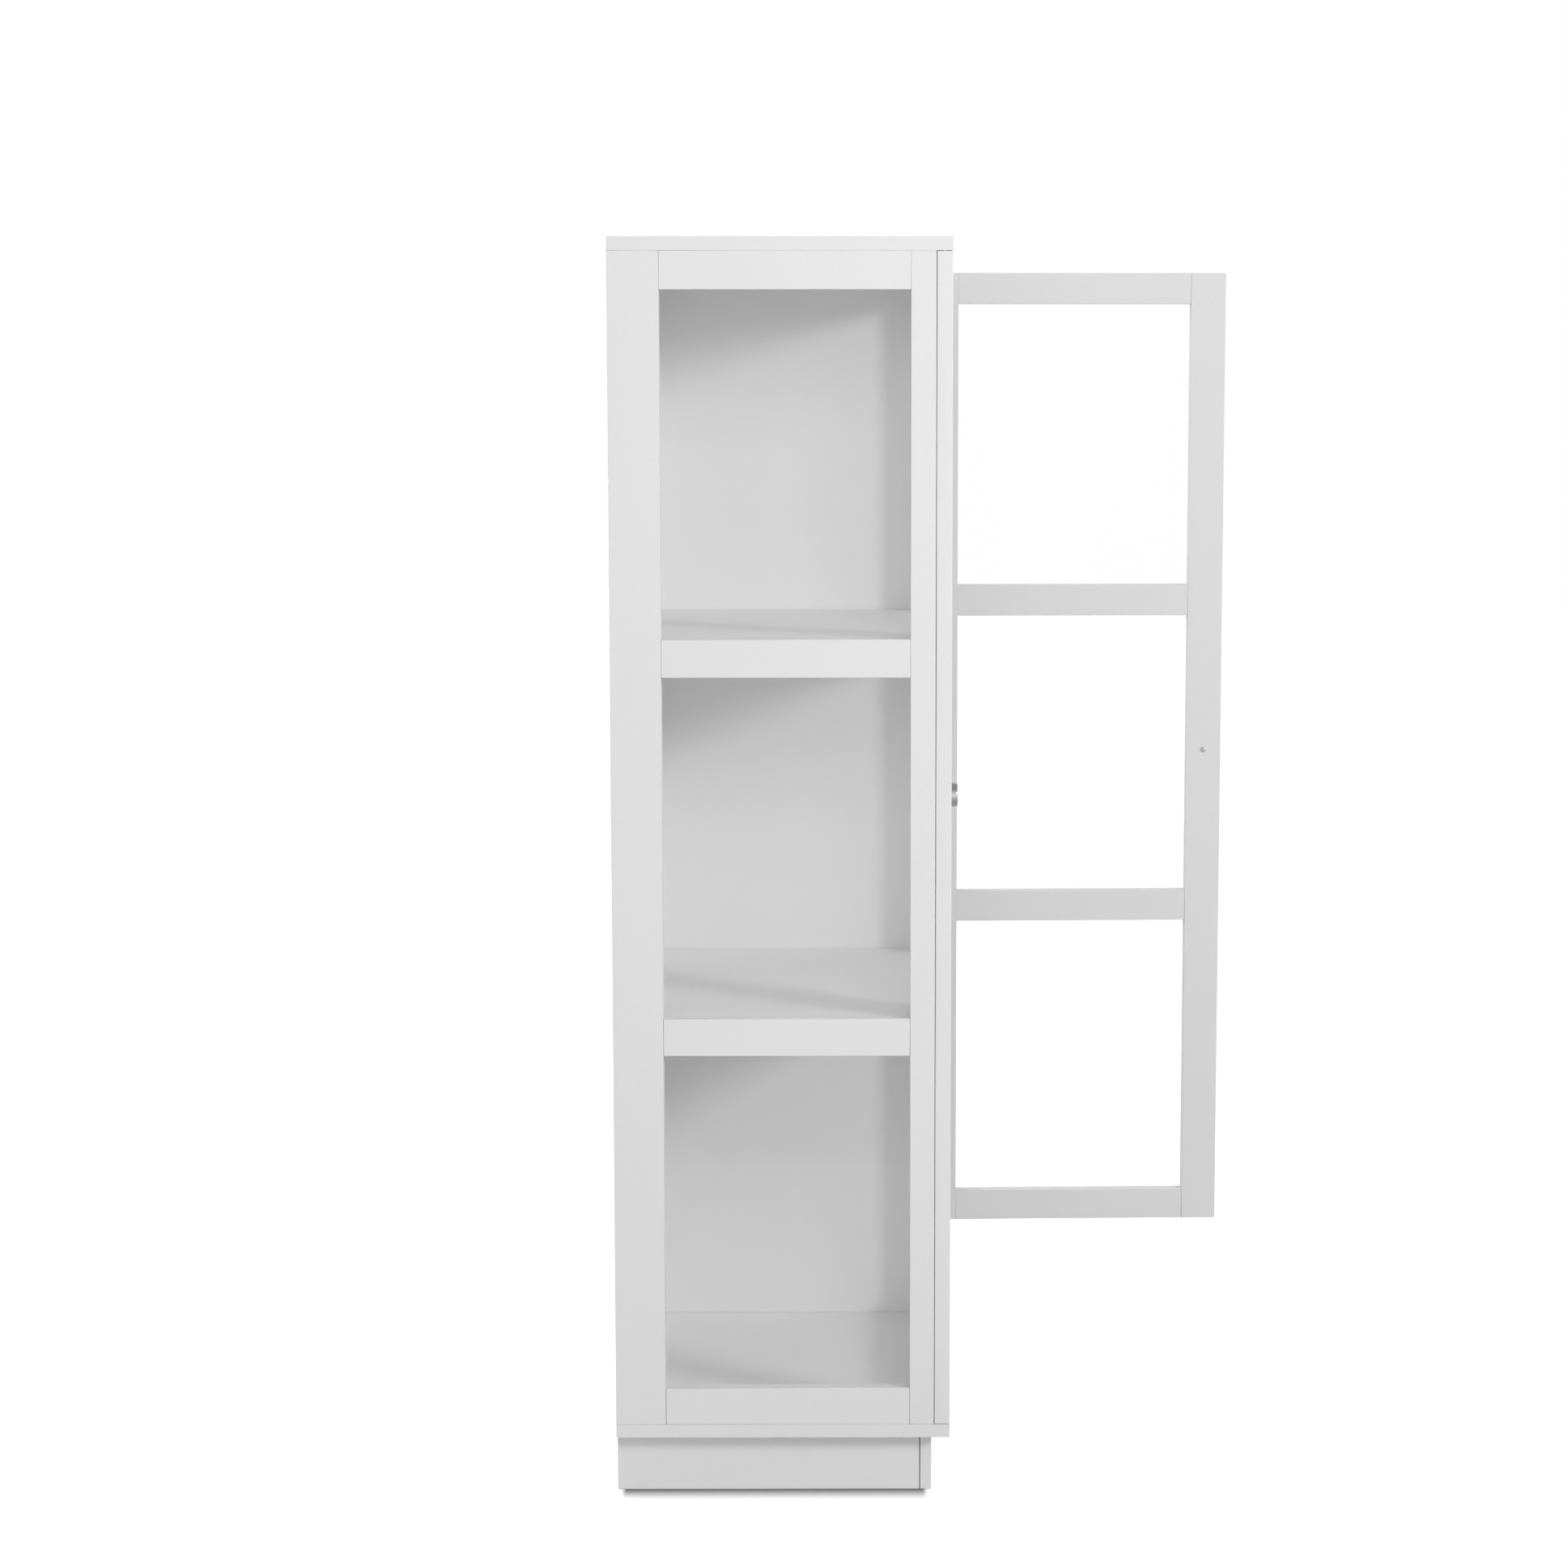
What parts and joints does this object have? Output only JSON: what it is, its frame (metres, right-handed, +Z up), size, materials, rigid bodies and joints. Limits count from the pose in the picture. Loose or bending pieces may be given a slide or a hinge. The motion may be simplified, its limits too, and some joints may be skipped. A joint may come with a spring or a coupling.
{
  "type": "bookcase with glass doors",
  "caption": "Tall white cabinet on a recessed plinth, with glazed frame doors on pivots, glazed sides, a partition and shelves on pins.",
  "frame": {"origin": "on the floor, under the middle of the cabinet's plan with its doors shut", "axes": "+Z up, -Y out of the front (the doors' side), +X to the right as seen from the front"},
  "size_m": [1.0935, 0.9876, 1.8],
  "materials": {
    "white_paint": "satin white paint on board and solid wood",
    "white_board": "smooth white faced board",
    "glass": "clear float glass",
    "chrome": "polished chrome plate",
    "steel": "nickel plated steel",
    "bumper": "clear soft plastic"
  },
  "bodies": {
    "carcass": {"back_panel": "white_board", "bottom_panel": "white_paint", "catch_magnets": "steel", "door_bumpers": "bumper", "left_lower_shelf": "white_paint", "left_side_bottom_rail": "white_paint", "left_side_front_stile": "white_paint", "left_side_lower_rail": "white_paint", "left_side_panes": "glass", "left_side_rear_stile": "white_paint", "left_side_top_rail": "white_paint", "left_side_upper_rail": "white_paint", "left_upper_shelf": "white_paint", "panel_hinge_leaves": "steel", "partition": "white_paint", "plinth_back": "white_paint", "plinth_cross_rail": "white_paint", "plinth_front": "white_paint", "plinth_left": "white_paint", "plinth_right": "white_paint", "right_lower_shelf": "white_paint", "right_side_bottom_rail": "white_paint", "right_side_front_stile": "white_paint", "right_side_lower_rail": "white_paint", "right_side_panes": "glass", "right_side_rear_stile": "white_paint", "right_side_top_rail": "white_paint", "right_side_upper_rail": "white_paint", "right_upper_shelf": "white_paint", "shelf_pins": "steel", "top_panel": "white_paint"},
    "left_door": {"left_catch_disc": "steel", "left_door_bottom_pane": "glass", "left_door_bottom_rail": "white_paint", "left_door_free_stile": "white_paint", "left_door_hinge_leaves": "steel", "left_door_hinge_stile": "white_paint", "left_door_lower_rail": "white_paint", "left_door_middle_pane": "glass", "left_door_top_pane": "glass", "left_door_top_rail": "white_paint", "left_door_upper_rail": "white_paint", "left_knob": "chrome", "left_knob_screw": "steel"},
    "right_door": {"right_catch_disc": "steel", "right_door_bottom_pane": "glass", "right_door_bottom_rail": "white_paint", "right_door_free_stile": "white_paint", "right_door_hinge_leaves": "steel", "right_door_hinge_stile": "white_paint", "right_door_lower_rail": "white_paint", "right_door_middle_pane": "glass", "right_door_top_pane": "glass", "right_door_top_rail": "white_paint", "right_door_upper_rail": "white_paint", "right_knob": "chrome", "right_knob_screw": "steel"}
  },
  "joints": [
    {"name": "left_door_hinge", "type": "hinge", "parent": "carcass", "child": "left_door", "pos_m": [-0.52, -0.229, 0.943], "axis": [0, 0, -1], "range_deg": [0, 95]},
    {"name": "right_door_hinge", "type": "hinge", "parent": "carcass", "child": "right_door", "pos_m": [0.52, -0.229, 0.943], "axis": [0, 0, 1], "range_deg": [-91.3, 3.7]}
  ]
}
